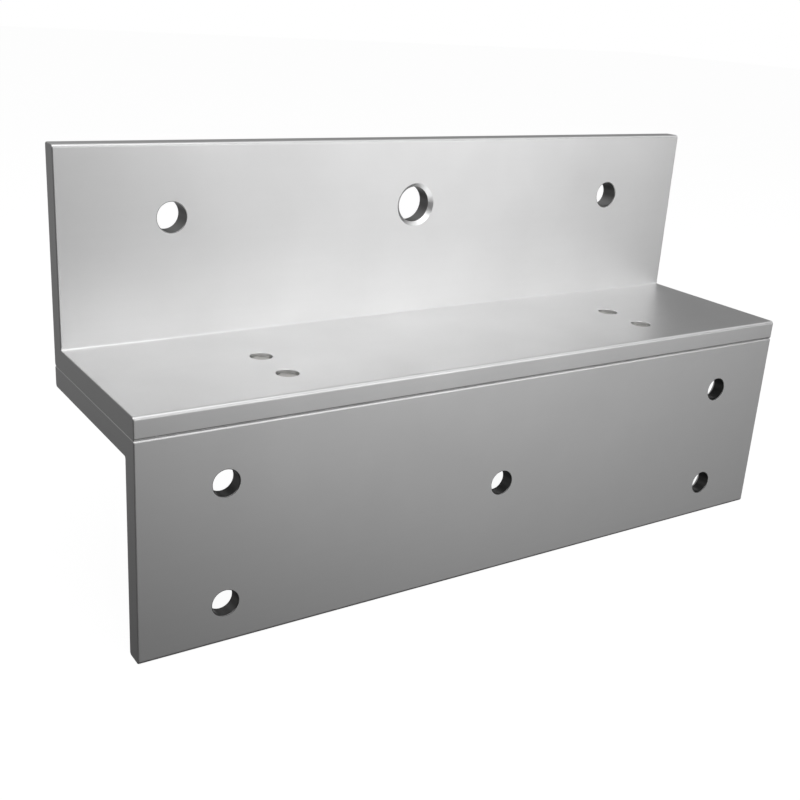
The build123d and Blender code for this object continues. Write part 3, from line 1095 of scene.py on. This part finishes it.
def make_floor():
    """A wide sheet under the bracket."""
    corners = [(-FLOOR_HALF, -FLOOR_HALF, BOTTOM), (FLOOR_HALF, -FLOOR_HALF, BOTTOM),
               (FLOOR_HALF, FLOOR_HALF, BOTTOM), (-FLOOR_HALF, FLOOR_HALF, BOTTOM)]
    mesh = bpy.data.meshes.new("floor")
    mesh.from_pydata(corners, [], [(0, 1, 2, 3)])
    sheet = bpy.data.objects.new("floor", mesh)
    bpy.context.scene.collection.objects.link(sheet)
    sheet.visible_glossy = False
    sheet.visible_diffuse = False
    sheet.visible_shadow = False
    return sheet


def make_floor_material():
    """Paper that glows nearly white from above and is clear from below."""
    material, tree, shader, place = start_finish("white paper sweep")
    fibre = add_node(tree, "ShaderNodeTexNoise", noise_dimensions="3D")
    feed(tree, fibre.inputs["Vector"], place)
    feed(tree, fibre.inputs["Scale"], 900.0)
    feed(tree, shader.inputs["Normal"], bump_from(tree, fibre.outputs["Fac"], 0.01 * MM))
    shader.inputs["Base Color"].default_value = (0.12, 0.12, 0.12, 1)
    shader.inputs["Roughness"].default_value = 0.9
    shader.inputs["Specular IOR Level"].default_value = 0.1
    shader.inputs["Emission Color"].default_value = (1, 1, 1, 1)
    shader.inputs["Emission Strength"].default_value = 0.94
    clear = add_node(tree, "ShaderNodeBsdfTransparent")
    choose = add_node(tree, "ShaderNodeMixShader")
    feed(tree, choose.inputs[0], add_node(tree, "ShaderNodeNewGeometry").outputs["Backfacing"])
    feed(tree, choose.inputs[1], shader.outputs["BSDF"])
    feed(tree, choose.inputs[2], clear.outputs["BSDF"])
    output = next(node for node in tree.nodes if node.type == "OUTPUT_MATERIAL")
    feed(tree, output.inputs["Surface"], choose.outputs[0])
    return material


floor = make_floor()
floor.data.materials.append(make_floor_material())
print("floor is level with the foot of the door angle, at", round(BOTTOM / MM, 1), "mm")

# %% [markdown]
# ## Soft studio light
# Satin metal shows its surroundings more than its own colour, so lighting it means choosing what it faces.
# Big soft boxes give broad highlights with soft ends. The front legs face boxes and strips on the right, which
# make the upright glow. The shelf faces the upright and then the dark room behind it, so its right end falls
# into shade. Each box is placed by azimuth and elevation round the bracket, and its brightness is set as the
# light that leaves each patch of it, because that is what a reflection shows whatever the size of the box.

# %% Directions round the bracket
def direction(azimuth, elevation):
    """Unit vector for an azimuth from the front towards +X and an elevation, both in degrees."""
    turn, rise = math.radians(azimuth), math.radians(elevation)
    return Vector((math.sin(turn) * math.cos(rise), -math.cos(turn) * math.cos(rise), math.sin(rise)))


BRACKET_MIDDLE = Vector((0, DEPTH / 2, (TOP + BOTTOM) / 2))
print("soft boxes aim at", [round(value / MM, 1) for value in BRACKET_MIDDLE], "mm")


# %% Soft boxes
def make_soft_box(name, azimuth, elevation, width, height, brightness):
    """A rectangular area light that faces the bracket."""
    light = bpy.data.lights.new(name, "AREA")
    light.shape = "RECTANGLE"
    light.size, light.size_y = width, height
    light.energy = brightness * math.pi * width * height
    box = bpy.data.objects.new(name, light)
    away = direction(azimuth, elevation)
    across = Vector((0, 0, 1)).cross(away).normalized()
    turned = Matrix((across, away.cross(across), away)).transposed().to_4x4()
    box.matrix_world = Matrix.Translation(BRACKET_MIDDLE + SOFT_BOX_DISTANCE * away) @ turned
    box.visible_camera = False
    bpy.context.scene.collection.objects.link(box)
    return box


SOFT_BOX_DISTANCE = 0.8
make_soft_box("low strip on the right", 33, 2, 0.4, 0.12, 1.41)
make_soft_box("front right box", 33, 14, 0.35, 0.3, 0.61)
make_soft_box("upper strip on the right", 33, 22, 0.35, 0.12, 1.57)
make_soft_box("front box", 10, 18, 0.35, 0.35, 0.68)
make_soft_box("high box on the right", 33, 30, 0.3, 0.3, 0.18)
make_soft_box("overhead box", 5, 72, 0.5, 0.5, 1.22)
make_soft_box("high left box", -35, 50, 0.5, 0.5, 1.16)
make_soft_box("far left box", -80, 45, 0.5, 0.5, 1.3)
make_soft_box("high right box", 70, 48, 0.5, 0.5, 0.59)


# %% Surroundings
def add_glow(tree, facing, azimuth, elevation, tightness, strength):
    """A soft round glow in one direction of the surroundings."""
    toward = add_node(tree, "ShaderNodeVectorMath", operation="DOT_PRODUCT")
    feed(tree, toward.inputs[0], facing)
    toward.inputs[1].default_value = direction(azimuth, elevation)
    fall = sums(tree, "MULTIPLY_ADD", toward.outputs["Value"], tightness, -tightness)
    return sums(tree, "MULTIPLY", sums(tree, "EXPONENT", fall), strength)


def make_surroundings():
    """A dim room: light from above, glows low down where the sweep sends light back, white to the camera."""
    world = bpy.data.worlds.new("studio room")
    world.use_nodes = True
    tree = world.node_tree
    background = next(node for node in tree.nodes if node.type == "BACKGROUND")
    facing = add_node(tree, "ShaderNodeTexCoord").outputs["Generated"]
    split = add_node(tree, "ShaderNodeSeparateXYZ")
    feed(tree, split.inputs[0], facing)
    total = sums(tree, "MULTIPLY", sums(tree, "MAXIMUM", split.outputs["Z"], 0.0), 0.43)
    for glow in SWEEP_GLOWS:
        total = sums(tree, "ADD", total, add_glow(tree, facing, *glow))
    seen = add_node(tree, "ShaderNodeLightPath").outputs["Is Camera Ray"]
    shown = add_node(tree, "ShaderNodeMix", data_type="FLOAT")
    feed(tree, shown.inputs[0], seen)
    feed(tree, shown.inputs[2], total)
    feed(tree, shown.inputs[3], 1.0)
    background.inputs["Color"].default_value = (1, 1, 1, 1)
    feed(tree, background.inputs["Strength"], shown.outputs[0])
    return world


# Each glow is an azimuth, an elevation, a tightness and a strength.
SWEEP_GLOWS = (
    (33, -9, 28, 0.98),
    (5, -15, 15, 0.11),
    (-56, -20, 20, 0.25),
    (-150, -12, 14, 0.16),
    (130, -20, 20, 0.6),
    (165, -24, 26, 0.3),
    (180, 10, 12, 0.17),
    (0, -90, 8, 0.1),
)
bpy.context.scene.world = make_surroundings()
bpy.context.scene.view_settings.view_transform = "Standard"
print("glows in the surroundings:", len(SWEEP_GLOWS))
